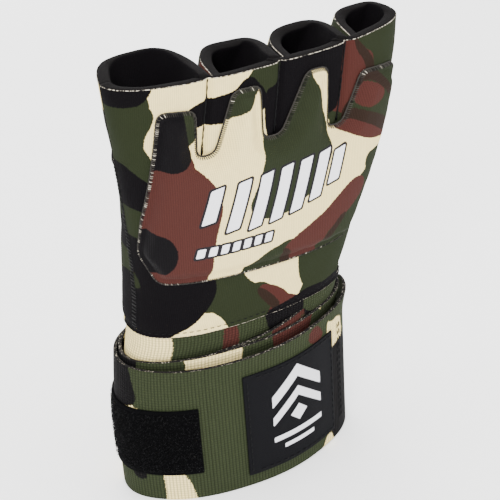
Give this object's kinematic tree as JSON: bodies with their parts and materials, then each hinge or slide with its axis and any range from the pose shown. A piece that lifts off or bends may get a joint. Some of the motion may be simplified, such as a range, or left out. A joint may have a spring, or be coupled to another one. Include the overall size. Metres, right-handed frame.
{
  "type": "mma glove",
  "caption": "Fingerless camouflage glove wrap for a left hand: padded neoprene sleeve with finger loops and a thumb hole, closed by a wound elastic strap with hook-and-loop tape",
  "frame": {"origin": "centre of the wrist opening, on the lower edge of the wound strap", "axes": "+Z from the wrist to the fingers, -Y the back of the hand, +Y the palm, +X the thumb side"},
  "size_m": [0.1098, 0.0513, 0.147],
  "materials": {
    "neoprene": "camouflage-printed knit bonded to black foam rubber",
    "pad_fabric": "camouflage-printed stretch knit",
    "elastic": "ribbed woven elastic with a camouflage print",
    "gel": "soft gel sheet",
    "thread": "spun polyester sewing thread",
    "loop_tape": "napped loop pile",
    "hook_tape": "nylon hooks",
    "label": "black twill with a white woven emblem"
  },
  "bodies": {
    "glove": {"back_panel": "neoprene", "palm_panel": "neoprene", "finger_loop_little": "neoprene", "finger_loop_ring": "neoprene", "finger_loop_middle": "neoprene", "finger_loop_index": "neoprene", "gel_insert": "gel", "pad_cover": "pad_fabric", "pad_edge_stitching": "thread", "side_seam_little_finger": "thread", "side_seam_thumb": "thread", "cuff_seam": "thread", "cuff_band": "elastic", "divider_seam_little_ring": "thread", "divider_seam_ring_middle": "thread", "divider_seam_middle_index": "thread", "strap_anchor_stitches": "thread", "strap_wound": "elastic", "loop_tape": "loop_tape"},
    "strap_end": {"strap_end": "elastic", "hook_tape": "hook_tape", "label_patch": "label", "label_stitching": "thread"},
    "pull_tab": {"pull_tab": "elastic", "pull_tab_hem_stitching": "thread"}
  },
  "joints": [
    {"name": "strap_end_peel", "type": "hinge", "parent": "glove", "child": "strap_end", "pos_m": [-0.01512, -0.0229, 0.025], "axis": [0, 0, -1], "range_deg": [0, 110]},
    {"name": "pull_tab_lift", "type": "hinge", "parent": "strap_end", "child": "pull_tab", "pos_m": [0.0322, -0.01685, 0.025], "axis": [0, 0, -1], "range_deg": [0, 80]}
  ]
}
